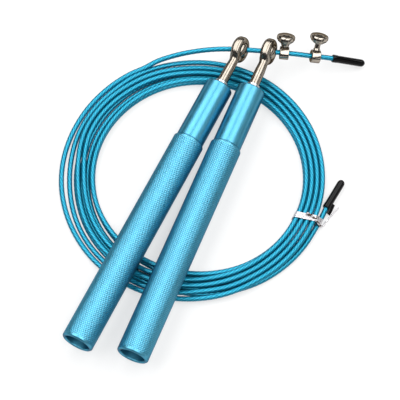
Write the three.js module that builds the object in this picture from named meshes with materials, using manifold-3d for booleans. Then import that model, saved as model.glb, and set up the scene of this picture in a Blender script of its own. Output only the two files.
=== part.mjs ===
// A speed jump rope as it is stored: both handles are threaded on one end of a long steel-cored
// cable, the rest of the cable is wound in a flat coil, and the handles lie across the coil.
// Millimetres, +Z up. The origin is the centre of the two handles, and the floor lies below it.
import * as THREE from "three";
import { mergeVertices } from "three/addons/utils/BufferGeometryUtils.js";
import Module from "manifold-3d";

const wasm = await Module();
wasm.setup();

// driving dimensions
const GAP = 0.3; // between pieces that touch on the real object
const RUN = 0.15; // radial clearance of the turned pieces
const CABLE_R = 1.25;
const CABLE_BORE_R = CABLE_R + GAP;
const GRIP_R = 7.5;
const NOSE_R = 6.75;
const GRIP_LENGTH = 111.5;
const NOSE_LENGTH = 32.4;
const NOSE_FROM_BALL = 22.2; // from the ball's centre back to the front of the tube
const COIL_HEIGHT = 5.2;
const FLOOR_Z = -(GRIP_R + GAP + COIL_HEIGHT);

// the handle's stations, measured back from the ball's centre
const NOSE_Y = -NOSE_FROM_BALL;
const STEP_Y = NOSE_Y - NOSE_LENGTH;
const REAR_Y = STEP_Y - GRIP_LENGTH;

// bearings: 4 mm bore, 9 mm outside, 4 mm wide, with seven balls
const JOURNAL_R = 2;
const BEARING_R = 4.5;
const BEARING_WIDTH = 4;
const BEARING_BALLS = 7;
const BEARING_BALL_R = 0.65;
const RACE_WALL = 0.6;
const CAGE_WALL = 0.5;
const PITCH_R = (JOURNAL_R + BEARING_R) / 2;
const LIP = 2; // wall at the front of the tube that the front bearing pushes against
const FRONT_BEARING_Y = NOSE_Y - LIP - GAP - BEARING_WIDTH / 2;
const REAR_BEARING_Y = FRONT_BEARING_Y - 20;

// what else is stacked on the spindle, from its foot back to the end of its thread
const SPACER_R = 3.3;
const STEM_FOOT_Y = NOSE_Y + 2.8; // the thick part of the stem stands on the spacer collar
const WASHER_THICKNESS = 0.6;
const WASHER_Y = REAR_BEARING_Y - BEARING_WIDTH / 2 - GAP;
const NUT_HEIGHT = 3.2;
const NUT_ACROSS_FLATS = 7;
const NUT_Y = WASHER_Y - WASHER_THICKNESS - GAP;
const THREAD_END_Y = NUT_Y - NUT_HEIGHT - 1.3;

// rod-end eye and the ball that swivels in it
const BALL_R = 4.2;
const BALL_HALF = 3.3; // to the flat face round each end of the bore
const SOCKET_R = BALL_R + 0.2;
const EYE_R = 6.2;
const EYE_HALF = 2.5;

// clamps
const COLLAR_R = 3.15;
const COLLAR_HALF = 2.15;
const SCREW_R = 1.25;
const SCREW_RISE = 49; // degrees that a thumb screw points above level

// the coil lies between two circles that are not quite concentric
const COIL_OUTER = { x: 8.5, y: 14.7, r: 62.6 };
const COIL_INNER = { x: 12, y: 14.2, r: 48.6 };

// handles: where each ball sits, which way the handle points, and how far its eye is rolled
const HANDLES = [
  { side: "left", ball: [31.5, 75.7, 0], heading: 63.5, roll: 15 },
  { side: "right", ball: [45.2, 74.6, 0], heading: 67.7, roll: 12 },
];

// the cable where it isn't coiled, from the end in cap A through the clamps and balls to the coil
const TAIL_ROUTE = [
  [83.9, 73.9, -8.1],
  [75.9, 73.9, -5.5],
  [71.8, 73.9, -4.4],
  [67.6, 73.8, -3.3],
  [63.5, 73.8, -2.3],
  [58, 73.9, -1.1],
  [52.6, 74.1, -0.4],
  [45.2, 74.6, 0],
  [38.4, 75.2, 0.1],
  [31.5, 75.7, 0],
];
const LEAD_ROUTE = [
  [31.2, 75.7, 0],
  [26.2, 76.1, -0.2],
  [19.6, 76.8, -0.9],
  [12.4, 77.2, -2.1],
  [4.2, 76.9, -3.9],
  [-5.6, 75.6, -6],
];
const END_ROUTE = [
  [69.5, -5.5, -11.6],
  [71.2, -2.3, -11.2],
  [75.2, 4.6, -11],
];
const CLAMPS = [
  { name: "inner", at: 6, turnedOut: 0 },
  { name: "outer", at: 3, turnedOut: 2 },
]; // at is the number of the route point that the clamp sits on
const CAP_R = 1.9;
const CAP_BORE_DEPTH = 10.5;
const CAP_A = { base: [75.9, 73.9, -5.5], tip: [91.8, 73.9, -10.8] };
const CAP_B = { base: [71.2, -2.3, -11], tip: [79.4, 11.9, -11] };

// the flat tie round the bundle, and its twisted end
const TIE_ANGLE = -23.6; // degrees round the coil
const TIE_WIDTH = 10.4;
const TIE_HEIGHT = COIL_HEIGHT - 0.2;
const TIE_WALL = 0.5;
const TIE_BAND = 2.4;
const TIE_WIRE_R = 0.5;
const TIE_END_ROUTE = [
  [65.4, -9.8, -10.8],
  [67.6, -11, -11.5],
  [70.4, -11.9, -12.2],
  [73.2, -9.3, -12.4],
  [78.6, -1.6, -12.4],
];

const FINISH = {
  anodised: { color: 0x2ca6cf, roughness: 0.35, metalness: 0.9 },
  nickel: { color: 0xcdc6bb, roughness: 0.2, metalness: 1 },
  bearing: { color: 0xb9bcc0, roughness: 0.25, metalness: 1 },
  brass: { color: 0xb99a55, roughness: 0.4, metalness: 1 },
  cable: { color: 0x1e9cc4, roughness: 0.3, metalness: 0 },
  cap: { color: 0x101214, roughness: 0.3, metalness: 0 },
  foil: { color: 0xd8d8da, roughness: 0.25, metalness: 0.8 },
};

const jumpRope = new THREE.Group();

function piece(name, geometry, finish) {
  const mesh = new THREE.Mesh(geometry, new THREE.MeshStandardMaterial(FINISH[finish]));
  mesh.name = name;
  return mesh;
}

// A closed outline of [radius, height] pairs, outside wall going up, turned about Y.
function turned(outline, sides) {
  const points = outline.map(([r, y]) => new THREE.Vector2(r, y));
  points.push(points[0].clone());
  return new THREE.LatheGeometry(points, sides);
}

function ring(innerR, outerR, y0, y1, sides) {
  const outline = [[innerR, y0], [outerR, y0], [outerR, y1], [innerR, y1]];
  return turned(outline, sides);
}

function solid(geometry) {
  const bare = geometry.index ? geometry.toNonIndexed() : geometry.clone();
  bare.deleteAttribute("normal");
  bare.deleteAttribute("uv");
  const merged = mergeVertices(bare, 1e-3);
  return new wasm.Manifold(
    new wasm.Mesh({
      numProp: 3,
      vertProperties: merged.attributes.position.array,
      triVerts: new Uint32Array(merged.index.array),
    }),
  );
}

function geometryOf(manifold) {
  const mesh = manifold.getMesh();
  const geometry = new THREE.BufferGeometry();
  geometry.setAttribute("position", new THREE.BufferAttribute(mesh.vertProperties, 3));
  geometry.setIndex(new THREE.BufferAttribute(mesh.triVerts, 1));
  geometry.computeVertexNormals();
  return geometry;
}

const vector = (p) => new THREE.Vector3(...p);
const radians = THREE.MathUtils.degToRad;

function aimed(geometry, direction) {
  const turn = new THREE.Quaternion();
  turn.setFromUnitVectors(new THREE.Vector3(0, 1, 0), direction.clone().normalize());
  return geometry.applyQuaternion(turn);
}

// ---- the handles ----

function gripTube() {
  const chamfer = 0.6;
  const seatEnd = REAR_BEARING_Y - BEARING_WIDTH / 2 - 1;
  const boreR = 5.75;
  const outline = [
    [boreR, REAR_Y],
    [GRIP_R - chamfer, REAR_Y],
    [GRIP_R, REAR_Y + chamfer],
    [GRIP_R, STEP_Y - chamfer / 2],
    [NOSE_R, STEP_Y],
    [NOSE_R, NOSE_Y - chamfer],
    [NOSE_R - chamfer, NOSE_Y],
    [SPACER_R + GAP, NOSE_Y],
    [SPACER_R + GAP, NOSE_Y - LIP],
    [BEARING_R, NOSE_Y - LIP],
    [BEARING_R, seatEnd],
    [boreR, seatEnd - 1],
  ];
  return turned(outline, 36);
}

function spindleEye(roll) {
  const eyeSteps = 4;
  const outline = [];
  for (let i = 0; i <= eyeSteps; i++) {
    const x = EYE_HALF * (1 - (2 * i) / eyeSteps);
    outline.push([Math.sqrt(SOCKET_R ** 2 - x ** 2), x]);
  }
  const bevel = 0.8;
  outline.push([EYE_R - bevel, -EYE_HALF]);
  outline.push([EYE_R, bevel - EYE_HALF]);
  outline.push([EYE_R, EYE_HALF - bevel]);
  outline.push([EYE_R - bevel, EYE_HALF]);
  const eye = turned(outline, 24).rotateZ(Math.PI / 2).rotateY(radians(-roll));

  const neckTop = -(SOCKET_R + EYE_R) / 2;
  const stem = turned(
    [
      [0, THREAD_END_Y],
      [JOURNAL_R - 0.3, THREAD_END_Y],
      [JOURNAL_R, THREAD_END_Y + 0.3],
      [JOURNAL_R, STEM_FOOT_Y],
      [2.5, STEM_FOOT_Y],
      [2.5, -10],
      [2.2, -7],
      [2.1, neckTop],
      [0, neckTop],
    ],
    20,
  );
  return geometryOf(solid(eye).add(solid(stem)));
}

function lockNut() {
  const cornerR = NUT_ACROSS_FLATS / 2 / Math.cos(Math.PI / 6);
  const nut = new THREE.Shape();
  for (let i = 0; i < 6; i++) {
    const angle = (i * Math.PI) / 3;
    const x = cornerR * Math.cos(angle);
    const y = cornerR * Math.sin(angle);
    if (i) nut.lineTo(x, y);
    else nut.moveTo(x, y);
  }
  nut.closePath();
  const hole = new THREE.Path();
  hole.absarc(0, 0, JOURNAL_R + RUN, 0, 2 * Math.PI, true);
  nut.holes.push(hole);
  const body = new THREE.ExtrudeGeometry(nut, {
    depth: NUT_HEIGHT,
    bevelEnabled: false,
    curveSegments: 10,
  });
  return body.rotateX(Math.PI / 2).translate(0, NUT_Y, 0);
}

function race(wallR, grooveR, y) {
  // wallR is the plain cylinder that fits the shaft or the seat, and grooveR the bottom of the groove
  const outward = wallR > PITCH_R;
  const shoulderR = outward ? wallR - RACE_WALL : wallR + RACE_WALL;
  const half = BEARING_WIDTH / 2;
  const grooveHalf = 0.6;
  const grooved = [
    [shoulderR, -half],
    [shoulderR, -grooveHalf],
    [grooveR, 0],
    [shoulderR, grooveHalf],
    [shoulderR, half],
  ];
  const plain = [[wallR, half], [wallR, -half]];
  const outline = [...grooved, ...plain];
  if (outward) outline.reverse();
  return turned(outline, 24).translate(0, y, 0);
}

function bearingCage(y) {
  const half = CAGE_WALL / 2;
  const sides = 3 * BEARING_BALLS;
  let cage = solid(ring(PITCH_R - half, PITCH_R + half, -CAGE_WALL, CAGE_WALL, sides));
  for (let i = 0; i < BEARING_BALLS; i++) {
    const angle = (2 * Math.PI * i) / BEARING_BALLS;
    const ball = new THREE.SphereGeometry(BEARING_BALL_R, 6, 5);
    ball.translate(PITCH_R * Math.cos(angle), 0, PITCH_R * Math.sin(angle));
    cage = cage.add(solid(ball));
  }
  return geometryOf(cage).translate(0, y, 0);
}

function swivelBall() {
  const outline = [[CABLE_BORE_R, -BALL_HALF]];
  const steps = 8;
  for (let i = 0; i <= steps; i++) {
    const y = BALL_HALF * ((2 * i) / steps - 1);
    outline.push([Math.sqrt(BALL_R ** 2 - y ** 2), y]);
  }
  outline.push([CABLE_BORE_R, BALL_HALF]);
  return turned(outline, 24);
}

function buildHandle({ side, ball, heading, roll }) {
  const handle = new THREE.Group();
  handle.position.set(...ball);
  handle.rotation.z = radians(heading - 90);
  const add = (name, geometry, finish) => handle.add(piece(`${name}_${side}`, geometry, finish));

  add("grip_tube", gripTube(), "anodised");
  add("spindle_eye", spindleEye(roll), "nickel");
  const spacerFoot = NOSE_Y - LIP;
  const spacer = ring(JOURNAL_R + RUN, SPACER_R, spacerFoot, STEM_FOOT_Y - GAP, 28);
  add("spacer_collar", spacer, "nickel");
  const sleeveY0 = REAR_BEARING_Y + BEARING_WIDTH / 2 + GAP;
  const sleeveY1 = FRONT_BEARING_Y - BEARING_WIDTH / 2 - GAP;
  const sleeve = ring(JOURNAL_R + RUN, JOURNAL_R + RACE_WALL, sleeveY0, sleeveY1, 24);
  add("bearing_sleeve", sleeve, "brass");
  for (const [place, y] of [["front", FRONT_BEARING_Y], ["rear", REAR_BEARING_Y]]) {
    const grooveIn = PITCH_R - BEARING_BALL_R - RUN;
    const grooveOut = PITCH_R + BEARING_BALL_R + RUN;
    add(`${place}_outer_race`, race(BEARING_R - RUN, grooveOut, y), "bearing");
    add(`${place}_inner_race`, race(JOURNAL_R + RUN, grooveIn, y), "bearing");
    add(`${place}_ball_cage`, bearingCage(y), "bearing");
  }
  const washer = ring(JOURNAL_R + RUN, 3, WASHER_Y - WASHER_THICKNESS, WASHER_Y, 24);
  add("lock_washer", washer, "nickel");
  add("lock_nut", lockNut(), "nickel");
  return handle;
}

// ---- the cable and what is on it ----

function cordTube(points, steps) {
  const section = new THREE.Shape();
  section.absarc(0, 0, CABLE_R, 0, 2 * Math.PI);
  const route = new THREE.CatmullRomCurve3(points.map(vector), false, "centripetal");
  return new THREE.ExtrudeGeometry(section, {
    steps,
    extrudePath: route,
    curveSegments: 4,
  });
}

// A ring whose inside and outside are the coil's two circles, with rounded edges.
function coilRing() {
  const edge = 1.5;
  const share = 0.12; // of the width that a rounded edge takes
  const top = COIL_HEIGHT;
  const outline = [
    [1 + share, 0],
    [2 - share, 0],
    [2, edge],
    [2, top - edge],
    [2 - share, top],
    [1 + share, top],
    [1, top - edge],
    [1, edge],
  ];
  const geometry = turned(outline, 72).rotateX(Math.PI / 2);
  const position = geometry.attributes.position;
  for (let i = 0; i < position.count; i++) {
    const x = position.getX(i);
    const y = position.getY(i);
    const radius = Math.hypot(x, y);
    const out = radius - 1; // 0 on the inside wall, 1 on the outside wall
    const inX = COIL_INNER.x + (COIL_INNER.r * x) / radius;
    const inY = COIL_INNER.y + (COIL_INNER.r * y) / radius;
    const outX = COIL_OUTER.x + (COIL_OUTER.r * x) / radius;
    const outY = COIL_OUTER.y + (COIL_OUTER.r * y) / radius;
    position.setXYZ(
      i,
      inX + (outX - inX) * out,
      inY + (outY - inY) * out,
      FLOOR_Z + position.getZ(i),
    );
  }
  return geometry;
}

// A frame-shaped outline, width by height with round corners, pushed through depth.
function band(width, height, corner, wall, depth) {
  const outline = roundedBox(new THREE.Shape(), width, height, corner);
  outline.holes.push(
    roundedBox(new THREE.Path(), width - 2 * wall, height - 2 * wall, corner - wall / 2),
  );
  const options = { depth, bevelEnabled: false, curveSegments: 4 };
  return new THREE.ExtrudeGeometry(outline, options).translate(0, 0, -depth / 2);
}

function roundedBox(path, width, height, corner) {
  const x = width / 2;
  const y = height / 2;
  path.moveTo(x, y - corner);
  path.absarc(x - corner, y - corner, corner, 0, Math.PI / 2);
  path.absarc(corner - x, y - corner, corner, Math.PI / 2, Math.PI);
  path.absarc(corner - x, corner - y, corner, Math.PI, 1.5 * Math.PI);
  path.absarc(x - corner, corner - y, corner, 1.5 * Math.PI, 2 * Math.PI);
  path.closePath();
  return path;
}

// Puts a piece drawn in the bundle's cross-section (X outward, Y up) where the tie sits.
function atTie(geometry) {
  const angle = radians(TIE_ANGLE);
  const inner = new THREE.Vector2(Math.cos(angle), Math.sin(angle));
  const outer = inner.clone().multiplyScalar(COIL_OUTER.r);
  outer.add(new THREE.Vector2(COIL_OUTER.x, COIL_OUTER.y));
  inner.multiplyScalar(COIL_INNER.r).add(new THREE.Vector2(COIL_INNER.x, COIL_INNER.y));
  const middle = inner.add(outer).multiplyScalar(0.5);
  geometry.rotateX(Math.PI / 2).rotateZ(angle);
  return geometry.translate(middle.x, middle.y, FLOOR_Z + COIL_HEIGHT / 2);
}

// The coil with a shallow groove round the bundle, which the tie's band sits in.
function coilWithGroove() {
  const inside = 2 * (TIE_WALL + GAP);
  const clearOfCoil = 1.5 * TIE_WIDTH;
  const groove = new THREE.Shape();
  roundedBox(groove, clearOfCoil, clearOfCoil, 1);
  groove.holes.push(roundedBox(new THREE.Path(), TIE_WIDTH - inside, TIE_HEIGHT - inside, 1));
  const depth = TIE_BAND + 2 * GAP;
  const options = { depth, bevelEnabled: false, curveSegments: 4 };
  const cutter = new THREE.ExtrudeGeometry(groove, options);
  cutter.translate(0, 0, -depth / 2);
  return geometryOf(solid(coilRing()).subtract(solid(atTie(cutter))));
}

function twistTie() {
  const loop = atTie(band(TIE_WIDTH, TIE_HEIGHT, 1.6, TIE_WALL, TIE_BAND));
  const wire = new THREE.Shape();
  wire.absarc(0, 0, TIE_WIRE_R, 0, 2 * Math.PI);
  const route = new THREE.CatmullRomCurve3(TIE_END_ROUTE.map(vector));
  const options = { steps: 20, extrudePath: route, curveSegments: 4 };
  const tail = new THREE.ExtrudeGeometry(wire, options);
  return geometryOf(solid(loop).add(solid(tail)));
}

function endCap({ base, tip }) {
  const from = vector(base);
  const along = vector(tip).sub(from);
  const length = along.length();
  const cap = turned(
    [
      [CABLE_BORE_R, 0],
      [CAP_R, 0],
      [CAP_R, length - 1.6],
      [0.85 * CAP_R, length - 0.7],
      [0.5 * CAP_R, length - 0.15],
      [0, length],
      [0, CAP_BORE_DEPTH],
      [CABLE_BORE_R, CAP_BORE_DEPTH],
    ],
    20,
  );
  return aimed(cap, along).translate(...base);
}

// A clamp's place on the cable, the cable's direction there and the way its screw points.
function clampFrame(at) {
  const centre = vector(TAIL_ROUTE[at]);
  const along = vector(TAIL_ROUTE[at - 1]).sub(vector(TAIL_ROUTE[at + 1])).normalize();
  const level = new THREE.Vector3(0, 0, 1).cross(along).normalize();
  const up = along.clone().cross(level);
  const rise = radians(SCREW_RISE);
  const screw = level.multiplyScalar(Math.cos(rise)).add(up.multiplyScalar(Math.sin(rise)));
  return { centre, along, screw };
}

function clampCollar({ centre, along, screw }) {
  const bevel = 0.4;
  const body = turned(
    [
      [CABLE_BORE_R, -COLLAR_HALF],
      [COLLAR_R - bevel, -COLLAR_HALF],
      [COLLAR_R, bevel - COLLAR_HALF],
      [COLLAR_R, COLLAR_HALF - bevel],
      [COLLAR_R - bevel, COLLAR_HALF],
      [CABLE_BORE_R, COLLAR_HALF],
    ],
    28,
  );
  const drillLength = 8;
  const drill = new THREE.CylinderGeometry(SCREW_R + 0.2, SCREW_R + 0.2, drillLength, 20);
  drill.translate(0, drillLength / 2, 0);
  const drilled = solid(aimed(body, along)).subtract(solid(aimed(drill, screw)));
  return geometryOf(drilled).translate(centre.x, centre.y, centre.z);
}

// A shank and neck, then a head of three steps with a rounded rim and a low dome. A screw that is
// turned out stands further from its collar on a longer, thinner neck.
function thumbScrew({ centre, screw }, turnedOut) {
  const neckR = turnedOut > 0 ? 1.35 : 1.7;
  // radius, then distance from the cable's centre
  const outline = [
    [0, CABLE_R + GAP],
    [SCREW_R, CABLE_R + GAP],
    [SCREW_R, COLLAR_R + GAP],
    [1.7, COLLAR_R + GAP],
    [neckR, 4.4],
    [neckR, 4.9 + turnedOut],
    [2.6, 5.3 + turnedOut],
    [2.6, 5.9 + turnedOut],
    [3.3, 6.2 + turnedOut],
    [3.3, 6.8 + turnedOut],
    [4, 7.1 + turnedOut],
    [4.35, 7.8 + turnedOut],
    [4.35, 8.7 + turnedOut],
    [3.9, 9.2 + turnedOut],
    [2.4, 9.6 + turnedOut],
    [0, 9.7 + turnedOut],
  ];
  return aimed(turned(outline, 24), screw).translate(centre.x, centre.y, centre.z);
}

for (const handle of HANDLES) {
  jumpRope.add(buildHandle(handle));
  const cableWay = vector(TAIL_ROUTE[6]).sub(vector(TAIL_ROUTE[9]));
  const ball = aimed(swivelBall(), cableWay).translate(...handle.ball);
  jumpRope.add(piece(`swivel_ball_${handle.side}`, ball, "nickel"));
}
jumpRope.add(piece("cable_tail", cordTube(TAIL_ROUTE, 24), "cable"));
jumpRope.add(piece("cable_lead", cordTube(LEAD_ROUTE, 16), "cable"));
jumpRope.add(piece("cable_coil", coilWithGroove(), "cable"));
jumpRope.add(piece("cable_end", cordTube(END_ROUTE, 4), "cable"));
jumpRope.add(piece("end_cap_a", endCap(CAP_A), "cap"));
jumpRope.add(piece("end_cap_b", endCap(CAP_B), "cap"));
jumpRope.add(piece("twist_tie", twistTie(), "foil"));
for (const { name, at, turnedOut } of CLAMPS) {
  const frame = clampFrame(at);
  jumpRope.add(piece(`clamp_collar_${name}`, clampCollar(frame), "nickel"));
  jumpRope.add(piece(`thumb_screw_${name}`, thumbScrew(frame, turnedOut), "nickel"));
}

export default jumpRope;
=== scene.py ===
# Speed jump rope as it is stored: two knurled aluminium handles threaded on one end of a coated
# steel cable, the rest of the cable wound in a flat coil with a foil tie round it.
# Shapes are laid out in millimetres and made in metres.
import math
import bmesh
import bpy
import numpy as np
from mathutils import Matrix, Vector, noise


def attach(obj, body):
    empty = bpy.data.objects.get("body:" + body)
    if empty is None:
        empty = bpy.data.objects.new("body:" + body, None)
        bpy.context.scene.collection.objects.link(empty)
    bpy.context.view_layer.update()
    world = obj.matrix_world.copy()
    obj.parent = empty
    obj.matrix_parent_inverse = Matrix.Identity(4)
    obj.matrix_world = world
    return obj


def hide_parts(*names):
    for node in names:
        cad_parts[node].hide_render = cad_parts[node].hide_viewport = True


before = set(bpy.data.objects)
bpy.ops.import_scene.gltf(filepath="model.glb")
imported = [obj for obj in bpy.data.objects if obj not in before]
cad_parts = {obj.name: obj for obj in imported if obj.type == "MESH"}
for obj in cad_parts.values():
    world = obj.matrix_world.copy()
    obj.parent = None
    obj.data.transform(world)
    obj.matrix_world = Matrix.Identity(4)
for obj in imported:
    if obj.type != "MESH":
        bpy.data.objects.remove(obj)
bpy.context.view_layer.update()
mm = 0.001
floorZ = -13.0


# an sRGB hex colour to linear RGBA
def linear(hexColour):
    values = [int(hexColour[i : i + 2], 16) / 255 for i in (1, 3, 5)]
    return [v / 12.92 if v <= 0.04045 else ((v + 0.055) / 1.055) ** 2.4 for v in values] + [1.0]


def addNode(tree, kind, settings=None, **inputs):
    node = tree.nodes.new(kind)
    for name, value in (settings or {}).items():
        setattr(node, name, value)
    for name, value in inputs.items():
        socket = node.inputs[int(name[1:])] if name[0] == "_" else node.inputs[name.replace("_", " ")]
        if isinstance(value, bpy.types.NodeSocket):
            tree.links.new(value, socket)
        else:
            socket.default_value = value
    return node


def cellSize(millimetres):
    return 1000 / millimetres  # pattern cells in a metre of object space


def newMaterial(name):
    material = bpy.data.materials.new(name)
    material.use_nodes = True
    tree = material.node_tree
    return material, tree, tree.nodes["Principled BSDF"]


# joins the finished colour, roughness and bump to the shader
def joinToShader(tree, shader, colour, rough, bump):
    link(tree, colour.outputs["Color"], shader, "Base Color")
    link(tree, rough.outputs["Result"], shader, "Roughness")
    link(tree, bump.outputs["Normal"], shader, "Normal")


def setShader(shader, **values):
    for name, value in values.items():
        shader.inputs[name.replace("_", " ")].default_value = value


def link(tree, output, node, socket):
    tree.links.new(output, node.inputs[socket])


# a closed outline of (along, radius) pairs turned about the local Y axis
def turned(profile, sides):
    outline = np.array(profile, float)
    turn = np.linspace(0, 2 * math.pi, sides, endpoint=False)
    n = len(outline)
    verts = np.empty((n, sides, 3))
    verts[:, :, 0] = outline[:, 1:2] * np.cos(turn)
    verts[:, :, 1] = outline[:, 0:1]
    verts[:, :, 2] = outline[:, 1:2] * np.sin(turn)
    return verts.reshape(-1, 3), gridFaces(n, sides, True)


# quads of a grid whose columns wrap round, and whose rows do too if closedRows
def gridFaces(rows, columns, closedRows):
    k = np.arange(rows if closedRows else rows - 1)[:, None]
    i = np.arange(columns)[None, :]
    a = k * columns + i
    b = k * columns + (i + 1) % columns
    c = (k + 1) % rows * columns + (i + 1) % columns
    d = (k + 1) % rows * columns + i
    return (np.stack([a, b, c, d], -1).reshape(-1, 4)).tolist()


# the closed outline with each corner that is off the axis rounded
def rounded(profile, radius, steps=4):
    points = [np.array(p, float) for p in profile]
    out = []
    for i, p in enumerate(points):
        before, after = points[i - 1], points[(i + 1) % len(points)]
        if p[1] < 1e-6:
            out.append(p)
            continue
        backLength, nextLength = np.linalg.norm(before - p), np.linalg.norm(after - p)
        reach = min(radius, 0.45 * backLength, 0.45 * nextLength)
        start = p + (before - p) / backLength * reach
        end = p + (after - p) / nextLength * reach
        for t in np.linspace(0, 1, steps):
            out.append((1 - t) ** 2 * start + 2 * t * (1 - t) * p + t * t * end)
    return out


def joined(*shapes):
    verts, faces, offset = [], [], 0
    for v, f in shapes:
        verts.append(np.asarray(v, float))
        faces += [[i + offset for i in face] for face in f]
        offset += len(v)
    return np.concatenate(verts), faces


def moved(shape, place):
    verts, faces = shape
    m = np.array(place)
    return verts @ m[:3, :3].T + m[:3, 3], faces


# a matrix whose Y is along, and whose Z leans to upHint
def frameAt(origin, along, upHint=(0, 0, 1)):
    y = Vector(along).normalized()
    x = y.cross(Vector(upHint)).normalized()
    z = x.cross(y)
    m = Matrix((x, y, z)).transposed().to_4x4()
    m.translation = Vector(origin)
    return m


def makePiece(name, shape, material, body, replaced=(), sharpAngle=32, weld=True):
    verts, faces = shape
    mesh = bpy.data.meshes.new(name)
    mesh.from_pydata((np.asarray(verts) * mm).tolist(), [], faces)
    if weld:
        made = bmesh.new()
        made.from_mesh(mesh)
        bmesh.ops.remove_doubles(made, verts=made.verts, dist=2e-7)
        bmesh.ops.dissolve_degenerate(made, edges=made.edges, dist=1e-8)
        bmesh.ops.recalc_face_normals(made, faces=made.faces)
        made.to_mesh(mesh)
        made.free()
    mesh.materials.append(material)
    mesh.shade_smooth()
    if sharpAngle:
        mesh.set_sharp_from_angle(angle=math.radians(sharpAngle))
    piece = bpy.data.objects.new(name, mesh)
    bpy.context.scene.collection.objects.link(piece)
    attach(piece, body)
    if replaced:
        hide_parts(*replaced)
    return piece


def applyModifiers(piece):
    graph = bpy.context.evaluated_depsgraph_get()
    mesh = bpy.data.meshes.new_from_object(piece.evaluated_get(graph))
    piece.modifiers.clear()
    piece.data = mesh


# a centripetal Catmull-Rom line through the points, with points about step apart
def smoothLine(points, step):
    p = np.array(points, float)
    p = np.vstack([2 * p[0] - p[1], p, 2 * p[-1] - p[-2]])
    out = []
    for a, b, c, d in zip(p, p[1:], p[2:], p[3:]):
        ta, tb = 0.0, math.sqrt(np.linalg.norm(b - a))
        tc = tb + math.sqrt(np.linalg.norm(c - b))
        td = tc + math.sqrt(np.linalg.norm(d - c))
        for t in np.linspace(tb, tc, max(2, math.ceil(np.linalg.norm(c - b) / step) + 1))[:-1]:
            ab = (tb - t) / (tb - ta) * a + (t - ta) / (tb - ta) * b
            bc = (tc - t) / (tc - tb) * b + (t - tb) / (tc - tb) * c
            cd = (td - t) / (td - tc) * c + (t - tc) / (td - tc) * d
            abc = (tc - t) / (tc - ta) * ab + (t - ta) / (tc - ta) * bc
            bcd = (td - t) / (td - tb) * bc + (t - tb) / (td - tb) * cd
            out.append((tc - t) / (tc - tb) * abc + (t - tb) / (tc - tb) * bcd)
    out.append(p[-2])
    return evenly(np.array(out), step)


def evenly(line, step):
    along = np.concatenate([[0], np.cumsum(np.linalg.norm(np.diff(line, axis=0), axis=1))])
    at = np.linspace(0, along[-1], max(2, round(along[-1] / step) + 1))
    return np.stack([np.interp(at, along, line[:, k]) for k in range(3)], axis=1)


# a tube along the line; radiusAt is a number, or the radii round one ring
def tube(line, radiusAt, sides, twistPerStep=0.0):
    tangent = np.gradient(line, axis=0)
    tangent /= np.linalg.norm(tangent, axis=1)[:, None]
    side = np.cross(tangent, [0, 0, 1.0])
    side /= np.linalg.norm(side, axis=1)[:, None]
    up = np.cross(side, tangent)
    turn = np.linspace(0, 2 * math.pi, sides, endpoint=False)[None, :]
    turn = turn + twistPerStep * np.arange(len(line))[:, None]
    radii = np.broadcast_to(np.asarray(radiusAt, float), (len(line), sides))
    verts = line[:, None, :] + radii[:, :, None] * (
        side[:, None, :] * np.cos(turn)[:, :, None] + up[:, None, :] * np.sin(turn)[:, :, None]
    )
    faces = gridFaces(len(line), sides, False)
    faces.append(list(range(sides))[::-1])
    faces.append([(len(line) - 1) * sides + i for i in range(sides)])
    return verts.reshape(-1, 3), faces


print("camera")
view = {"place": (0.0124, -0.3629, 0.8084), "tilt": 24.0, "lens": 172.7}
cameraData = bpy.data.cameras.new("camera")
cameraData.lens = view["lens"]
cameraData.sensor_width = 36
camera = bpy.data.objects.new("camera", cameraData)
camera.location = view["place"]
camera.rotation_euler = (math.radians(view["tilt"]), 0, 0)
bpy.context.scene.collection.objects.link(camera)
bpy.context.scene.camera = camera


middle = {"From_Min": 0.3, "From_Max": 0.7}  # where nearly all of a noise pattern's values lie


def anodisedBlue(name):
    # 6061 aluminium, turned and knurled, then dyed and sealed: a clear blue film over bright metal, so
    # it mirrors softly, and the sides that face away go navy. The knurl is painted pale on its crests
    # as worn dye, and dark blue in its grooves as painted shade.
    material, tree, shader = newMaterial(name)
    place = addNode(tree, "ShaderNodeTexCoord").outputs["Object"]
    dye = addNode(tree, "ShaderNodeTexNoise", Vector=place, Scale=cellSize(5.5), Detail=4, Roughness=0.6)
    film = addNode(
        tree, "ShaderNodeMixRGB", Fac=dye.outputs["Fac"], Color1=linear("#3497B8"), Color2=linear("#40A6C8")
    )
    # painted shade and wear: this point attribute darkens the knurl's grooves as painted shade and lightens
    # its crests as worn dye
    crestWearGrooveShade = addNode(tree, "ShaderNodeAttribute", {"attribute_name": "crestWearGrooveShade"}).outputs["Fac"]
    wornCrestShadedGroove = addNode(tree, "ShaderNodeMixRGB", Fac=crestWearGrooveShade, Color1=linear("#066C90"), Color2=linear("#74B6C6"))
    colour = addNode(
        tree, "ShaderNodeMixRGB", Fac=0.75, Color1=film.outputs["Color"], Color2=wornCrestShadedGroove.outputs["Color"]
    )
    rough = addNode(
        tree, "ShaderNodeMapRange", Value=dye.outputs["Fac"], To_Min=0.34, To_Max=0.46, **middle
    )
    # turning marks at 0.05 mm would be too fine to show, so they are drawn at about 0.4 mm
    marks = addNode(tree, "ShaderNodeTexNoise", Vector=place, Scale=cellSize(0.4), Detail=2)
    bump = addNode(tree, "ShaderNodeBump", Strength=0.12, Distance=0.00005, Height=marks.outputs["Fac"])
    joinToShader(tree, shader, colour, rough, bump)
    setShader(shader, Metallic=1.0, Specular_Tint=linear("#04233F"))
    setShader(shader, Coat_Weight=0.25, Coat_IOR=1.6, Coat_Roughness=0.12)  # the sealed film
    return material


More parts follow.
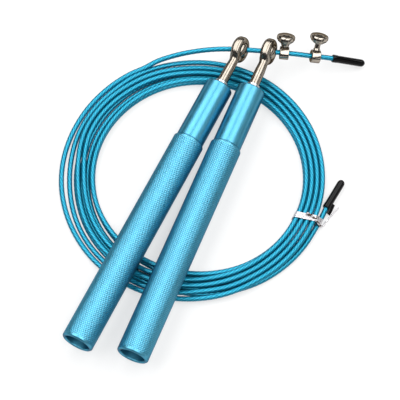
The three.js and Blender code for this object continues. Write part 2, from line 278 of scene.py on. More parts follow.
def plainMetal(name, pale, dark, roughLow, roughHigh, grain=1.7, edgeTint="#8A8074"):
    # noise at the scale of the polish gives slow changes in shade; fine noise gives the surface its tooth
    material, tree, shader = newMaterial(name)
    place = addNode(tree, "ShaderNodeTexCoord").outputs["Object"]
    cloud = addNode(tree, "ShaderNodeTexNoise", Vector=place, Scale=cellSize(grain), Detail=5, Roughness=0.6)
    colour = addNode(
        tree, "ShaderNodeMixRGB", Fac=cloud.outputs["Fac"], Color1=linear(pale), Color2=linear(dark)
    )
    rough = addNode(
        tree, "ShaderNodeMapRange", Value=cloud.outputs["Fac"], To_Min=roughLow, To_Max=roughHigh, **middle
    )
    fine = addNode(tree, "ShaderNodeTexNoise", Vector=place, Scale=cellSize(0.25), Detail=2)
    bump = addNode(tree, "ShaderNodeBump", Strength=0.15, Distance=0.00004, Height=fine.outputs["Fac"])
    joinToShader(tree, shader, colour, rough, bump)
    setShader(shader, Metallic=1.0, Specular_Tint=linear(edgeTint))
    return material


def coatedCable(name):
    # steel rope of six strands round a core, in extruded clear blue PVC: the strands show through as
    # pale and dark turns, and the smooth coat over them has a soft gloss
    material, tree, shader = newMaterial(name)
    place = addNode(tree, "ShaderNodeTexCoord").outputs["Object"]
    lay = addNode(tree, "ShaderNodeAttribute", {"attribute_name": "lay"}).outputs["Fac"]
    cloud = addNode(tree, "ShaderNodeTexNoise", Vector=place, Scale=cellSize(4.5), Detail=3)
    dyed = addNode(
        tree, "ShaderNodeMixRGB", Fac=cloud.outputs["Fac"], Color1=linear("#1A89A4"), Color2=linear("#32A0B9")
    )
    betweenStrands = linear("#0A6280")
    colour = addNode(
        tree, "ShaderNodeMixRGB", Fac=lay, Color1=betweenStrands, Color2=dyed.outputs["Color"]
    )
    rough = addNode(
        tree, "ShaderNodeMapRange", Value=cloud.outputs["Fac"], To_Min=0.3, To_Max=0.4, **middle
    )
    fine = addNode(tree, "ShaderNodeTexNoise", Vector=place, Scale=cellSize(0.33), Detail=2)
    bump = addNode(tree, "ShaderNodeBump", Strength=0.2, Distance=0.00004, Height=fine.outputs["Fac"])
    joinToShader(tree, shader, colour, rough, bump)
    setShader(shader, Metallic=0.7, Specular_Tint=linear("#0A3A66"))
    setShader(shader, Coat_Weight=0.2, Coat_Roughness=0.15)
    return material


def dippedVinyl(name):
    # black PVC, dipped and cured on a pin: deep gloss over a faintly uneven skin
    material, tree, shader = newMaterial(name)
    place = addNode(tree, "ShaderNodeTexCoord").outputs["Object"]
    cloud = addNode(tree, "ShaderNodeTexNoise", Vector=place, Scale=cellSize(1.1), Detail=4)
    colour = addNode(
        tree, "ShaderNodeMixRGB", Fac=cloud.outputs["Fac"], Color1=linear("#010101"), Color2=linear("#050506")
    )
    rough = addNode(
        tree, "ShaderNodeMapRange", Value=cloud.outputs["Fac"], To_Min=0.14, To_Max=0.24, **middle
    )
    bump = addNode(tree, "ShaderNodeBump", Strength=0.3, Distance=0.00005, Height=cloud.outputs["Fac"])
    joinToShader(tree, shader, colour, rough, bump)
    setShader(shader, IOR=1.45, Specular_IOR_Level=0.2)
    return material


def tieFoil(name):
    # metallised film glued over a wire core: bright, soft and creased
    material, tree, shader = newMaterial(name)
    place = addNode(tree, "ShaderNodeTexCoord").outputs["Object"]
    crease = addNode(tree, "ShaderNodeTexVoronoi", {"feature": "F1"}, Vector=place, Scale=cellSize(1.4))
    cloud = addNode(tree, "ShaderNodeTexNoise", Vector=place, Scale=cellSize(2.0), Detail=3)
    colour = addNode(
        tree, "ShaderNodeMixRGB", Fac=cloud.outputs["Fac"], Color1=linear("#D8D6D8"), Color2=linear("#A5A1A4")
    )
    rough = addNode(
        tree, "ShaderNodeMapRange", Value=cloud.outputs["Fac"], To_Min=0.2, To_Max=0.36, **middle
    )
    bump = addNode(tree, "ShaderNodeBump", Strength=0.5, Distance=0.00015, Height=crease.outputs["Distance"])
    joinToShader(tree, shader, colour, rough, bump)
    setShader(shader, Metallic=0.9)
    return material


print("materials")
knurledBlue = anodisedBlue("anodised_knurl")
# nickel plating over polished steel: a warm mirror that goes dark where it turns away
nickel = plainMetal("nickel_plated_steel", "#B5ADA2", "#8D857A", 0.13, 0.2, edgeTint="#5A524A")
# the same plating over tumbled castings, a little duller
satinNickel = plainMetal("satin_nickel_steel", "#A8A095", "#827A6F", 0.17, 0.25, edgeTint="#4C453D")
# fine turned and left bare: pale, with a soft sheen
machinedAluminium = plainMetal("machined_collar", "#DADCDD", "#BFC1C3", 0.2, 0.32)
# through-hardened and ground: cool grey and sharp
bearingSteel = plainMetal("ground_bearing_steel", "#C9CBCE", "#9EA1A5", 0.14, 0.24, 1.1, "#70747A")
# bar brass, turned: yellow with a slightly rough skin
brass = plainMetal("turned_brass", "#C9A45A", "#A07C3C", 0.24, 0.38, 1.4, "#8A6A30")
cableCoat = coatedCable("blue_coated_cable")
blackVinyl = dippedVinyl("dipped_black_vinyl")
foil = tieFoil("foil_tie")
# brown and dull wire: its dark colour is painted shade for the shaded gap down the tie's twist
twistShadeWire = plainMetal("tie_wire_painted_shade", "#6E5A4C", "#3E322A", 0.3, 0.45, edgeTint="#3A2E26")


# the cable runs out of cap A, through both clamps and both balls, down to the coil, round it, and
# out at the tie into cap B
cable = {
    "radius": 1.25,
    "strands": 6,
    "groove": 0.05,  # how deep the strands show in the coat
    "lay": 15.0,  # length of one turn of a strand
    "step": 1.2,
    # circles are centre x, centre y and radius, points x, y and z
    "centre": (10.0, 14.5),
    "outer": (8.5, 14.7, 62.6),
    "inner": (12.0, 14.2, 48.6),
    "capA": ((75.9, 73.9, -5.5), (91.8, 73.9, -10.8)),
    "capB": ((71.2, -2.3, -11.0), (79.4, 11.9, -11.0)),
    "tieAngle": -23.6,
    "tieLift": 0.6,  # how far the tie's band lifts the strands
    "tieReach": 10.0,  # degrees to each side of it
}
tailRoute = [
    (83.9, 73.9, -8.1),
    (75.9, 73.9, -5.5),
    (71.8, 73.9, -4.4),
    (67.6, 73.8, -3.3),
    (63.5, 73.8, -2.3),
    (58.0, 73.9, -1.1),
    (52.6, 74.1, -0.4),
    (45.2, 74.6, 0.0),
    (38.4, 75.2, 0.1),
    (31.5, 75.7, 0.0),
]
leadRoute = [
    (26.2, 76.1, -0.2),
    (19.6, 76.4, -1.0),
    (12.4, 76.4, -2.4),
    (4.2, 75.8, -4.2),
    (-1.4, 74.9, -5.5),
    (-7.9, 73.2, -6.9),
    (-14.8, 69.9, -8.3),
    (-20.8, 67.5, -9.2),
    (-28.0, 63.0, -9.9),
]
endRoute = [(69.3, -6.2, -11.75), (71.2, -2.3, -11.4), (75.2, 4.6, -11.0)]


# how far one of the coil's edge circles is from the coil's centre in that direction
def edgeRadius(circle, angle):
    dx, dy = circle[0] - cable["centre"][0], circle[1] - cable["centre"][1]
    b = dx * np.cos(angle) + dy * np.sin(angle)
    return b + np.sqrt(b * b - (dx * dx + dy * dy) + circle[2] ** 2)


# turn is the angle wound, across the distance out from the coil's inside edge
def coilPoint(turn, across, height):
    r = edgeRadius(cable["inner"], turn) + across
    return np.stack(
        [
            cable["centre"][0] + r * np.cos(turn),
            cable["centre"][1] + r * np.sin(turn),
            floorZ + height,
        ],
        -1,
    )


coil = {
    "angleStep": 2.0,  # degrees
    "wander": 0.35,
    "spare": 0.03,  # between strands that lie against each other
    "settlePasses": 260,
    "settleShare": 0.8,
    "pullBack": 0.03,
    "stiffness": 0.18,
    "fixedPoints": 6,  # at the lead, which stays where it comes in
}


# the wound part, its turns kept apart: five inward, mostly on top, then four outward along the floor
def coilTurns():
    d = 2 * cable["radius"]
    low, nested, high = cable["radius"], 3.45, 3.72
    leftAcross = [16.25, 12.3, 8.3, 5.4, 1.35, 1.45, 4.0, 6.6, 9.15]
    leftHeight = [low, low, nested, nested, high, low, low, low, low]
    upperLeftAcross = [15.6, 13.0, 10.45, 7.7, 1.4, 1.4, 4.0, 6.55, 9.1]
    upperLeftHeight = [low, low, 3.3, nested, high, low, low, low, low]
    lowerLeftAcross = [15.9, 12.9, 9.6, 6.4, 1.4, 1.5, 4.75, 7.3, 9.85]
    lowerLeftHeight = [low, low, nested, nested, high, low, low, low, low]
    topAcross = [None, 10.9, 8.2, 5.5, 1.5, 1.4, 3.95, 6.5, 9.05]
    topHeight = [None, nested, nested, nested, high, low, low, low, low]
    rightAcross = [9.3, 6.75, 4.15, 1.6, 1.3, 3.85, 6.4, 8.95]
    rightHeight = [high, high, high, high, low, low, low, low]
    keys = [(128.0, 14.6, 3.0)]
    for n in range(9):
        if n:
            keys.append((90 + 360 * n, topAcross[n], topHeight[n]))
            keys.append((118 + 360 * n, 0.5 * (topAcross[n] + upperLeftAcross[n]), topHeight[n]))
        keys.append((150 + 360 * n, upperLeftAcross[n], upperLeftHeight[n]))
        keys.append((182 + 360 * n, leftAcross[n], leftHeight[n]))
        keys.append((214 + 360 * n, lowerLeftAcross[n], lowerLeftHeight[n]))
        if n < 8:
            keys.append((336 + 360 * n, rightAcross[n] + 0.1, rightHeight[n]))
            keys.append((372 + 360 * n, rightAcross[n], rightHeight[n]))
    keys.append((336.4 + 360 * 8, 11.5, low))
    keys = np.array(keys)
    step = coil["angleStep"]
    count = int((keys[-1, 0] - keys[0, 0]) / step) + 1
    turn = keys[0, 0] + step * np.arange(count)
    where = np.interp(turn, keys[:, 0], np.arange(len(keys)))
    whole = np.minimum(where.astype(int), len(keys) - 2)
    part = where - whole
    part = part * part * (3 - 2 * part)
    across = keys[whole, 1] + (keys[whole + 1, 1] - keys[whole, 1]) * part
    height = keys[whole, 2] + (keys[whole + 1, 2] - keys[whole, 2]) * part
    wander = np.array([noise.noise((t / 38.0, 3.7, 0.4)) for t in turn])
    across = across + coil["wander"] * wander * np.clip((turn - 150) / 60, 0, 1)
    wantedAcross, wantedHeight = across.copy(), height.copy()
    perTurn = int(360 / step)
    held = np.ones(count)
    held[: coil["fixedPoints"]] = 0
    for _ in range(coil["settlePasses"]):
        moveAcross, moveHeight = np.zeros(count), np.zeros(count)
        for m in range(1, 9):
            s = perTurn * m
            if s >= count:
                break
            da, dh = across[s:] - across[:-s], height[s:] - height[:-s]
            far = np.maximum(np.hypot(da, dh), 1e-6)
            push = 0.5 * np.maximum(d + coil["spare"] - far, 0) / far
            moveAcross[s:] += push * da
            moveAcross[:-s] -= push * da
            moveHeight[s:] += push * dh
            moveHeight[:-s] -= push * dh
        across += held * (coil["settleShare"] * moveAcross + coil["pullBack"] * (wantedAcross - across))
        height += held * (coil["settleShare"] * moveHeight + coil["pullBack"] * (wantedHeight - height))
        for line in (across, height):
            line[1:-1] += coil["stiffness"] * held[1:-1] * (line[:-2] + line[2:] - 2 * line[1:-1])
        height = np.maximum(height, low)
        across = np.maximum(across, low)
    return np.radians(turn), across, height


# the whole cable's middle line, and the wound part by angle for the tie to fit round
def cableLine():
    turn, across, height = coilTurns()
    # the band of the tie passes under the strands and lifts them off the floor a little
    fromTie = (np.degrees(turn) - cable["tieAngle"] + 180) % 360 - 180
    height = height + cable["tieLift"] * np.exp(-((fromTie / cable["tieReach"]) ** 2))
    wound = coilPoint(turn, across, height)
    points = np.vstack([tailRoute, leadRoute, wound[3::3], endRoute])
    return smoothLine(points, cable["step"]), (turn, across, height)


print("cable")
cablePath, (woundTurn, woundAcross, woundHeight) = cableLine()
pointsPerStrand = 4  # round the cable: crest, flank, groove, flank
cableSides = pointsPerStrand * cable["strands"]
ringRadii = cable["radius"] - cable["groove"] * np.array([0, 0.45, 1, 0.45] * cable["strands"])
actualStep = np.linalg.norm(np.diff(cablePath, axis=0), axis=1).mean()
cableShape = tube(cablePath, ringRadii, cableSides, 2 * math.pi * actualStep / cable["lay"])
cablePiece = makePiece(
    "cable",
    cableShape,
    cableCoat,
    "rope",
    ("cable_tail", "cable_lead", "cable_coil", "cable_end"),
    sharpAngle=0,
    weld=False,
)
layValues = cablePiece.data.attributes.new("lay", "FLOAT", "POINT")
layValues.data.foreach_set(
    "value", np.tile([1.0, 0.6, 0.0, 0.6] * cable["strands"], len(cablePath)).astype(np.float32)
)


# along a handle, distances are from the middle of its ball, and run back to the open end
handle = {
    "gripRadius": 7.5,
    "noseRadius": 6.75,
    "boreRadius": 5.75,
    "noseY": -22.2,
    "stepY": -54.6,
    "rearY": -166.1,
    "lipHole": 3.6,  # radius of the hole in the nose
    "lip": 2.0,
    "seatRadius": 4.52,  # of the bearing seat
    "seatEnd": -49.5,
    "edge": 0.6,
    "edgeRound": 0.22,
    "grooveDepth": 0.25,  # of the line turned in front of the knurl
    "plainEnd": 0.4,  # left smooth behind the knurl
    "diamondsRound": 40,
    "diamondLength": 1.3,
    "knurlDepth": 0.13,
    "landDepth": 0.02,  # of a diamond's flat beside its crest
    "fadeRings": 3.0,  # rings over which the knurl runs out
}
eyeEnd = {
    "radius": 6.35,
    "half": 2.4,
    "round": 1.85,
    "bevel": 1.4,
    "socket": 4.4,
    "foot": -19.4,
    "neckY": [-19.4, -11.0, -6.5, -4.0],
    "neckRadii": [2.55, 2.45, 2.1, 2.3],
    "blend": 1.6,  # how softly the neck runs into the ring
}
ball = {"radius": 4.2, "half": 3.3, "bore": 1.55}
spacer = {"front": -19.7, "rear": -24.2, "radius": 3.3, "bore": 2.15}
shaft = {"front": -19.2, "rear": -54.2, "radius": 1.98, "core": 1.72, "pitch": 0.7, "turns": 6}
handles = [
    {"side": "left", "ball": (31.5, 75.7, 0.0), "heading": 63.5, "roll": 15.0},
    {"side": "right", "ball": (45.2, 74.6, 0.0), "heading": 67.7, "roll": 12.0},
]
cableWay = Vector(tailRoute[6]) - Vector(tailRoute[9])


def handlePlace(one):
    return Matrix.Translation(one["ball"]) @ Matrix.Rotation(math.radians(one["heading"] - 90), 4, "Z")


# one closed tube: open rear, knurled grip, groove, smooth nose, lip and bearing seat
def gripShape():
    h = handle
    sides = 4 * h["diamondsRound"]
    edge = h["edge"]
    noseY, stepY, rearY = h["noseY"], h["stepY"], h["rearY"]
    grooveRadius = h["noseRadius"] - h["grooveDepth"]
    outline = [
        (rearY, h["gripRadius"] - edge),
        (rearY + edge, h["gripRadius"] - 0.02),
        (stepY - 0.3, h["gripRadius"] - 0.05),
        (stepY - 0.05, h["gripRadius"] - 0.3),
        (stepY, grooveRadius),
        (stepY + 0.4, grooveRadius),
        (stepY + 0.55, h["noseRadius"]),
        (noseY - edge, h["noseRadius"]),
        (noseY, h["noseRadius"] - edge),
        (noseY, h["lipHole"]),
        (noseY - h["lip"], h["lipHole"]),
        (noseY - h["lip"], h["seatRadius"]),
        (h["seatEnd"], h["seatRadius"]),
        (h["seatEnd"] - 1, h["boreRadius"]),
        (rearY + 0.5, h["boreRadius"]),
        (rearY, h["boreRadius"] + 0.45),
    ]
    closed = rounded(outline, h["edgeRound"])
    knurlStart, knurlEnd = rearY + edge + h["plainEnd"], stepY - 0.55
    # the knurl's rings go in after the last point of the rear edge
    first = next(i for i, p in enumerate(closed) if p[0] > rearY + edge / 2 and p[1] > h["gripRadius"] - 0.1)
    while closed[first + 1][0] < knurlStart:
        first += 1
    rings = round((knurlEnd - knurlStart) / (h["diamondLength"] / 4))
    knurlY = np.linspace(knurlStart, knurlEnd, rings)
    j, i = np.meshgrid(np.arange(rings), np.arange(sides), indexing="ij")
    rightHand, leftHand = (i + j) % 4, (i - j) % 4
    grooved = (rightHand == 0) | (leftHand == 0)
    peak = (rightHand == 2) & (leftHand == 2)
    fade = np.clip(np.minimum(j, rings - 1 - j) / h["fadeRings"], 0, 1)
    drop = np.where(grooved, h["knurlDepth"], np.where(peak, 0.0, h["landDepth"])) * fade
    # mixes worn dye and painted shade: 0 paints a groove dark as shade, 1 paints a peak pale as worn dye
    crestWearGrooveShade = np.where(grooved, 0.0, np.where(peak, 1.0, 0.75)) * fade + 0.6 * (1 - fade)
    before, after = closed[: first + 1], closed[first + 1 :]
    profile = np.array(before + [(y, h["gripRadius"]) for y in knurlY] + after)
    radii = np.repeat(profile[:, 1:2], sides, 1)
    # the smooth parts take 0.45, between the painted groove shade and the crest wear
    crestWearGrooveShades = np.full(radii.shape, 0.45)
    knurled = slice(len(before), len(before) + rings)
    radii[knurled] -= drop
    crestWearGrooveShades[knurled] = crestWearGrooveShade
    turn = np.linspace(0, 2 * math.pi, sides, endpoint=False)
    verts = np.stack([radii * np.cos(turn), np.repeat(profile[:, :1], sides, 1), radii * np.sin(turn)], -1)
    n = len(profile)
    faces = []
    for row, quads in enumerate(np.array(gridFaces(n, sides, True)).reshape(n, sides, 4)):
        k = row - len(before)
        if not 0 <= k < rings - 1:
            faces += quads.tolist()
            continue
        for c, (p, q, r, s) in enumerate(quads.tolist()):
            # the quad is cut along the groove that crosses it
            if (c + k + 1) % 4 == 0:
                faces += [[p, q, s], [q, r, s]]
            else:
                faces += [[p, q, r], [p, r, s]]
    return (verts.reshape(-1, 3), faces), crestWearGrooveShades.reshape(-1)


# rod-end ring and neck, still as two crossing bodies
def eyeShape(roll):
    e = eyeEnd
    ring = [(x, math.sqrt(e["socket"] ** 2 - x * x)) for x in np.linspace(e["half"], -e["half"], 9)]
    shoulder = e["radius"] - e["bevel"]
    ring += [(-e["half"], shoulder), (e["bevel"] - e["half"], e["radius"])]
    ring += [(e["half"] - e["bevel"], e["radius"]), (e["half"], shoulder)]
    eye = moved(turned(ring, 64), eyeTurn(roll))
    neck = turned([(e["foot"], 0), (e["foot"], 2.5), (-10, 2.5), (-7, 2.2), (-5.4, 2.1), (-5.4, 0)], 40)
    return joined(eye, neck)


# from the handle's frame to the ring's own, with the ring's axis along Y
def eyeTurn(roll):
    return Matrix.Rotation(math.radians(-roll), 4, "Y") @ Matrix.Rotation(math.radians(-90), 4, "Z")


# the lesser of two distances, eased over where they are within soft of each other
def smoothLeast(a, b, soft):
    h = np.clip(0.5 + 0.5 * (b - a) / soft, 0, 1)
    return b * (1 - h) + a * h - soft * h * (1 - h)


# how far a point in the handle's frame is outside the finished rod end
def eyeDistance(points, back):
    e = eyeEnd
    q = points @ back.T
    out = np.hypot(q[:, 0], q[:, 2])
    dx, dy = out - (e["radius"] - e["round"]), np.abs(q[:, 1]) - (e["half"] - e["round"])
    disc = np.hypot(np.maximum(dx, 0), np.maximum(dy, 0)) + np.minimum(np.maximum(dx, dy), 0) - e["round"]
    radius = np.interp(points[:, 1], e["neckY"], e["neckRadii"])
    stem = np.hypot(points[:, 0], points[:, 2]) - radius
    stem = np.maximum(stem, points[:, 1] + 2.0)
    body = smoothLeast(disc, stem, e["blend"])
    socket = e["socket"] - np.linalg.norm(q, axis=1)
    foot = e["foot"] - points[:, 1]
    # the corners where the socket and the foot cut the body are eased by a tenth or two
    hollow = -smoothLeast(-body, -socket, 0.35)
    return -smoothLeast(-hollow, -foot, 0.3)


# melts ring and neck into one body, then draws each point onto the finished surface
def blended(piece, place, roll):
    remesh = piece.modifiers.new("blend", "REMESH")
    remesh.mode = "VOXEL"
    remesh.voxel_size = 0.22 * mm
    smooth = piece.modifiers.new("polish", "SMOOTH")
    smooth.iterations = 6
    applyModifiers(piece)
    mesh = piece.data
    co = np.empty(len(mesh.vertices) * 3, np.float32)
    mesh.vertices.foreach_get("co", co)
    toLocal = np.array(place.inverted())
    points = (co.reshape(-1, 3) / mm).astype(float) @ toLocal[:3, :3].T + toLocal[:3, 3]
    back = np.array(eyeTurn(roll).inverted())[:3, :3]
    probe = 0.01
    for _ in range(6):
        far = eyeDistance(points, back)
        slope = np.stack([(eyeDistance(points + step, back) - far) / probe for step in probe * np.eye(3)], 1)
        steepness = np.maximum((slope * slope).sum(1), 0.3)
        points -= 0.9 * (np.clip(far, -0.4, 0.4) / steepness)[:, None] * slope
    world = np.array(place)
    points = (points @ world[:3, :3].T + world[:3, 3]) * mm
    mesh.vertices.foreach_set("co", points.reshape(-1).astype(np.float32))
    mesh.shade_smooth()
    mesh.update()


# the spindle inside the tube, with its thread at the end
def shaftShape():
    r, rear = shaft["radius"], shaft["rear"]
    outline = [(rear, 0), (rear, 1.7)]
    for k in range(shaft["turns"]):
        root = rear + 0.3 + shaft["pitch"] * k
        outline += [(root, shaft["core"]), (root + shaft["pitch"] / 2, r)]
    outline += [(rear + 4.6, r), (shaft["front"], r), (shaft["front"], 0)]
    return turned(outline, 40)


def ballShape():
    outline = [(-ball["half"], ball["bore"])]
    for y in np.linspace(-ball["half"], ball["half"], 25):
        outline.append((y, math.sqrt(ball["radius"] ** 2 - y * y)))
    outline.append((ball["half"], ball["bore"]))
    return turned(outline, 64)


def spacerShape():
    front, rear, r, bore = spacer["front"], spacer["rear"], spacer["radius"], spacer["bore"]
    return turned(rounded([(rear, bore), (rear, r), (front, r), (front, bore)], 0.3), 72)


print("handles")
gripVerts, gripWearAndShade = gripShape()
for one in handles:
    side = one["side"]
    place = handlePlace(one)
    spindle, steel = "spindle_" + side, "nickel_steel"
    grip = makePiece(
        "grip_" + side,
        moved(gripVerts, place),
        knurledBlue,
        "handle_" + side,
        ["grip_tube_" + side],
        sharpAngle=28,
        weld=False,
    )
    # the knurl's painted groove shade and crest wear, stored on each point
    wearAndShadeValues = grip.data.attributes.new("crestWearGrooveShade", "FLOAT", "POINT")
    wearAndShadeValues.data.foreach_set("value", gripWearAndShade.astype(np.float32))
    eyeParts = moved(eyeShape(one["roll"]), place)
    eye = makePiece("rod_end_" + side, eyeParts, satinNickel, spindle, ["spindle_eye_" + side])
    blended(eye, place, one["roll"])
    makePiece("shaft_" + side, moved(shaftShape(), place), nickel, spindle)
    collar = moved(spacerShape(), place)
    makePiece("spacer_" + side, collar, machinedAluminium, spindle, ["spacer_collar_" + side])
    onCableHere = moved(ballShape(), frameAt(one["ball"], cableWay))
    swivel = "swivel_" + side
    makePiece("eye_ball_" + side, onCableHere, satinNickel, swivel, ["swivel_ball_" + side])
    # the bearings, sleeve, washer and nut are seen only from the open end, so the frame's own solids stay
    for node, metal in (
        ("bearing_sleeve", brass),
        ("front_outer_race", bearingSteel),
        ("rear_outer_race", bearingSteel),
        ("front_inner_race", bearingSteel),
        ("rear_inner_race", bearingSteel),
        ("front_ball_cage", bearingSteel),
        ("rear_ball_cage", bearingSteel),
        ("lock_washer", nickel),
        ("lock_nut", nickel),
    ):
        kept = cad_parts[node + "_" + side]
        kept.data.materials.clear()
        kept.data.materials.append(metal)


clamp = {
    "collarRadius": 3.15,
    "collarHalf": 2.15,
    "bore": 1.5,
    "rise": 49.0,  # degrees that a thumb screw points above level
    "drill": 1.45,
    "places": [
        {"name": "inner", "at": 6, "turnedOut": 0.0, "neck": 2.0},
        {"name": "outer", "at": 3, "turnedOut": 2.0, "neck": 1.35},
    ],  # at is the number of the tail's route point
}


def clampFrame(at):
    centre = Vector(tailRoute[at])
    along = (Vector(tailRoute[at - 1]) - Vector(tailRoute[at + 1])).normalized()
    level = Vector((0, 0, 1)).cross(along).normalized()
    up = along.cross(level)
    rise = math.radians(clamp["rise"])
    return centre, along, level * math.cos(rise) + up * math.sin(rise)


def collarShape(place):
    r, half, bore = clamp["collarRadius"], clamp["collarHalf"], clamp["bore"]
    outline = rounded([(-half, bore), (-half, r), (half, r), (half, bore)], 0.35, 5)
    return moved(turned(outline, 72), place)


# distance from the cable's centre, then radius: shank and neck, then three rings, rim and dished top
def screwShape(neck, turnedOut):
    shank = [(1.55, 0), (1.55, 1.25), (3.5, 1.25), (3.5, 1.75), (4.4, neck)]
    head = [
        (4.75, neck),
        (5.0, 2.5),
        (5.45, 2.7),
        (5.55, 3.15),
        (6.0, 3.35),
        (6.1, 3.8),
        (6.6, 3.95),
        (7.1, 4.4),
        (8.3, 4.4),
        (8.8, 4.1),
        (9.15, 3.3),
        (9.05, 2.6),
        (9.45, 1.6),
        (9.6, 0),
    ]
    outline = shank + [(far + turnedOut, radius) for far, radius in head]
    return turned(rounded(outline, 0.18, 5), 72)


# cuts the screw's hole through one wall of the collar
def drilled(collar, place):
    r = clamp["drill"]
    bitShape = moved(turned([(0, 0), (0, r), (6, r), (6, 0)], 32), place)
    bit = makePiece("drill", bitShape, nickel, "rope")
    cut = collar.modifiers.new("drill", "BOOLEAN")
    cut.object = bit
    cut.operation = "DIFFERENCE"
    cut.solver = "EXACT"
    applyModifiers(collar)
    collar.data.shade_smooth()
    collar.data.set_sharp_from_angle(angle=math.radians(32))
    bpy.data.objects.remove(bit)


print("clamps")
onCable = []
for spot in clamp["places"]:
    name = spot["name"]
    centre, along, screw = clampFrame(spot["at"])
    shape = collarShape(frameAt(centre, along))
    collar = makePiece(
        "clamp_" + name, shape, nickel, "clamp_" + name, ["clamp_collar_" + name]
    )
    screwPlace = frameAt(centre, screw, along)
    drilled(collar, screwPlace)
    shape = moved(screwShape(spot["neck"], spot["turnedOut"]), screwPlace)
    screwPiece = makePiece(
        "screw_" + name, shape, nickel, "screw_" + name, ["thumb_screw_" + name]
    )
    onCable += [collar, screwPiece]


cap = {
    "radius": 1.9,  # of the rolled rim at the mouth
    "rimLength": 2.2,
    "rimHeight": 0.12,  # above the barrel
    "bore": 1.35,
    "boreDepth": 10.5,
    "dome": 2.0,
    "flapWidth": 1.9,
    "flapThickness": 0.4,
}


def capShape(base, tip):
    length = (Vector(tip) - Vector(base)).length
    r, rim, dome = cap["radius"], cap["rimLength"], cap["dome"]
    barrel = r - cap["rimHeight"]
    domeStart = length - dome
    outline = [(0, cap["bore"]), (0, r - 0.25), (0.25, r), (rim, r), (rim + 0.4, barrel), (domeStart, barrel)]
    for t in np.radians(np.linspace(15, 90, 7)):
        outline.append((domeStart + dome * math.sin(t), barrel * math.cos(t)))
    outline[-1] = (length, 0)
    outline += [(cap["boreDepth"], 0), (cap["boreDepth"], cap["bore"])]
    return moved(turned(outline, 48), frameAt(base, Vector(tip) - Vector(base)))


# the trimmed skirt of cap B, left standing out on one side of its mouth
def flapShape(base, tip):
    rows, columns = 12, 7
    inside, outside = [], []
    for along in np.linspace(-2.3, 3.4, rows):
        for t in np.linspace(0, 1, columns):
            reach = 1.35 + (cap["flapWidth"] - 0.12 * max(along, 0)) * t
            height = 0.75 - 1.1 * t * t + 0.08 * math.sin(1.1 * along + 3 * t)
            outside.append((reach, along, height))
            inside.append((reach - 0.1, along, height - cap["flapThickness"]))
    n = len(outside)
    faces = []
    for k in range(rows - 1):
        for m in range(columns - 1):
            a = columns * k + m
            faces.append([a, a + 1, a + columns + 1, a + columns])
            faces.append([n + a, n + a + columns, n + a + columns + 1, n + a + 1])
    last = rows - 1
    rim = [columns * k for k in range(rows)] + [columns * last + m for m in range(1, columns)]
    rim += [columns * k + columns - 1 for k in range(last - 1, -1, -1)]
    rim += [m for m in range(columns - 2, 0, -1)]
    for a, b in zip(rim, rim[1:] + rim[:1]):
        faces.append([a, b, n + b, n + a])
    return moved((np.array(outside + inside), faces), frameAt(base, Vector(tip) - Vector(base)))


print("caps")
capA = makePiece("cap_a", capShape(*cable["capA"]), blackVinyl, "rope", ["end_cap_a"])
capWithFlap = joined(capShape(*cable["capB"]), flapShape(*cable["capB"]))
capB = makePiece("cap_b", capWithFlap, blackVinyl, "rope", ["end_cap_b"])
onCable += [capA, capB]


tie = {
    "width": 3.0,
    "thickness": 0.3,
    "gap": 0.12,  # between the strands and the band
    "crease": 0.1,
    "ridge": 0.09,  # over the wire along the middle, and at the two edges
    "wire": 0.34,
    "twist": 2.6,
}
tieEndRoute = [
    (61.9, -6.6, -6.2),
    (64.5, -8.3, -6.6),
    (66.7, -10.0, -7.9),
    (67.9, -11.3, -10.4),
    (69.1, -11.2, -12.0),
    (70.4, -9.5, -12.4),
    (73.6, -5.5, -12.4),
    (77.2, -1.3, -12.4),
]


# twice the area of the triangle a, b, c, and above zero where the way through them bends to the left
def leftBend(a, b, c):
    return (b[0] - a[0]) * (c[1] - a[1]) - (b[1] - a[1]) * (c[0] - a[0])


# the outline round the strands where the tie sits, in (across, height)
def bundleHull():
    at = math.radians(cable["tieAngle"] + 360)
    circles = []
    for n in range(9):
        t = at + 2 * math.pi * n
        circles.append((np.interp(t, woundTurn, woundAcross), np.interp(t, woundTurn, woundHeight)))
    turn = np.linspace(0, 2 * math.pi, 48, endpoint=False)
    reach = cable["radius"] + tie["gap"]
    points = [(a + reach * math.cos(t), h + reach * math.sin(t)) for a, h in circles for t in turn]
    points = sorted(set(points))
    hull = []
    for order in (points, points[::-1]):
        part = []
        for p in order:
            while len(part) > 1 and leftBend(part[-2], part[-1], p) <= 0:
                part.pop()
            part.append(p)
        hull += part[:-1]
    hull = np.array(hull + hull[:1])
    along = np.concatenate([[0], np.cumsum(np.linalg.norm(np.diff(hull, axis=0), axis=1))])
    at = np.linspace(0, along[-1], 120, endpoint=False)
    return np.stack([np.interp(at, along, hull[:, k]) for k in range(2)], 1)


def tieBandShape():
    hull = bundleHull()
    n = len(hull)
    tangent = np.roll(hull, -1, 0) - np.roll(hull, 1, 0)
    tangent /= np.linalg.norm(tangent, axis=1)[:, None]
    outward = np.stack([tangent[:, 1], -tangent[:, 0]], 1)
    if ((hull - hull.mean(0)) * outward).sum() < 0:
        outward = -outward
    angle = math.radians(cable["tieAngle"])
    across = 13
    sheets = []
    for layer in (1, 0):
        for w in np.linspace(-0.5, 0.5, across):
            rowPoints = []
            for k in range(n):
                crease = tie["crease"] * noise.noise((hull[k][0] * 0.9, hull[k][1] * 0.9, w * 4.2))
                ridge = tie["ridge"] * math.cos(2 * math.pi * w) ** 2
                p = hull[k] + outward[k] * (layer * tie["thickness"] + crease + layer * ridge)
                # the band leans a little across the bundle
                lean = angle + 0.02 * (p[0] - 6) / 6
                base = coilPoint(lean, p[0], p[1])
                rowPoints.append(base + w * tie["width"] * np.array([-math.sin(lean), math.cos(lean), 0]))
            sheets.append(rowPoints)
    rows = sheets[:across] + sheets[across:][::-1]
    return np.array(rows).reshape(-1, 3), gridFaces(2 * across, n, True)
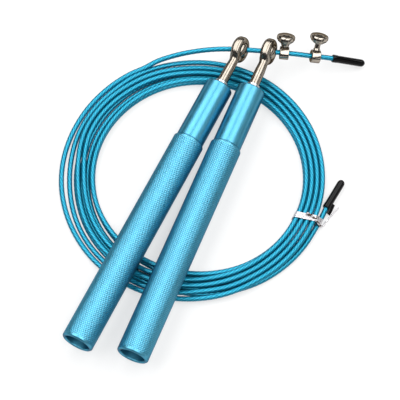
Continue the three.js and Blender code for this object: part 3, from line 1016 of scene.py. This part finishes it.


# two wires of the tie twisted round each other: the covered one runs on past the cap; the dark one,
# whose colour is painted shade of the gap in the twist, is cut short
def tieEndShape():
    step = 0.2
    line = smoothLine(tieEndRoute, step)
    tangent = np.gradient(line, axis=0)
    tangent /= np.linalg.norm(tangent, axis=1)[:, None]
    side = np.cross(tangent, [0, 0, 1.0])
    side /= np.linalg.norm(side, axis=1)[:, None]
    up = np.cross(side, tangent)
    phase = 2 * math.pi * np.arange(len(line)) * step / tie["twist"]
    tight = np.clip(1 - (np.arange(len(line)) / len(line) - 0.45) * 3, 0.0, 1)
    shapes = []
    for k, start in enumerate((0, math.pi)):
        swing = 0.9 * tie["wire"] * tight[:, None]
        wire = line + swing * (side * np.cos(phase + start)[:, None] + up * np.sin(phase + start)[:, None])
        if k:
            wire = wire[: int(0.42 * len(wire))]
        shapes.append(tube(wire, tie["wire"] * (0.85 if k else 1.0), 12))
    return shapes


print("tie")
tieBand = makePiece("tie_band", tieBandShape(), foil, "rope", ["twist_tie"], sharpAngle=40)
paleWire, shadedWire = tieEndShape()
tieEnd = makePiece("tie_end", paleWire, foil, "rope", weld=False, sharpAngle=0)
# the dark wire's colour is painted shade for the gap in the twist
tieShadeCore = makePiece("tie_core_painted_shade", shadedWire, twistShadeWire, "rope", weld=False, sharpAngle=0)
onCable += [tieBand, tieEnd, tieShadeCore]


print("floor and light")
floorMaterial, floorTree, floorShader = newMaterial("pale_floor")
setShader(floorShader, Base_Color=linear("#8E8E8E"), Roughness=0.9, Specular_IOR_Level=0.1)
setShader(floorShader, Emission_Color=linear("#FFFFFF"), Emission_Strength=0.6)
floorMesh = bpy.data.meshes.new("floor")
floorReach = 3.0
floorCorners = [(floorReach * x, floorReach * y, 0) for x, y in ((-1, -1), (1, -1), (1, 1), (-1, 1))]
floorMesh.from_pydata(floorCorners, [], [(0, 1, 2, 3)])
floorMesh.materials.append(floorMaterial)
floor = bpy.data.objects.new("floor", floorMesh)
floor.location.z = (floorZ - 0.05) * mm
bpy.context.scene.collection.objects.link(floor)

# long soft strips in line with the handles: two above with a narrow gap between them, and a dim one
# low on the right
handleWay = Vector((0.42, 0.908, 0))
acrossWay = Vector((0.908, -0.42, 0))
softboxes = [
    {"name": "left_strip", "lean": -29.0, "reach": 0.9, "along": 0.3, "size": (0.66, 2.2), "radiance": 3.7},
    {"name": "right_strip", "lean": 23.0, "reach": 0.9, "along": 0.3, "size": (0.62, 2.2), "radiance": 3.7},
    {"name": "low_strip", "lean": 68.0, "reach": 1.1, "along": 0.3, "size": (0.30, 2.2), "radiance": 0.9},
]
for box in softboxes:
    lean = math.radians(box["lean"])
    toLamp = acrossWay * math.sin(lean) + Vector((0, 0, math.cos(lean)))
    lamp = bpy.data.lights.new(box["name"], "AREA")
    lamp.shape = "RECTANGLE"
    lamp.size, lamp.size_y = box["size"]
    lamp.energy = box["radiance"] * math.pi * lamp.size * lamp.size_y
    light = bpy.data.objects.new(box["name"], lamp)
    side = handleWay.cross(toLamp).normalized()
    light.matrix_world = Matrix((side, handleWay, toLamp)).transposed().to_4x4()
    light.location = toLamp * box["reach"] + handleWay * box["along"]
    bpy.context.scene.collection.objects.link(light)

world = bpy.data.worlds.new("studio")
bpy.context.scene.world = world
world.use_nodes = True
world.node_tree.nodes["Background"].inputs["Color"].default_value = linear("#E9EDF2")
world.node_tree.nodes["Background"].inputs["Strength"].default_value = 0.06
bpy.context.scene.view_settings.view_transform = "Standard"
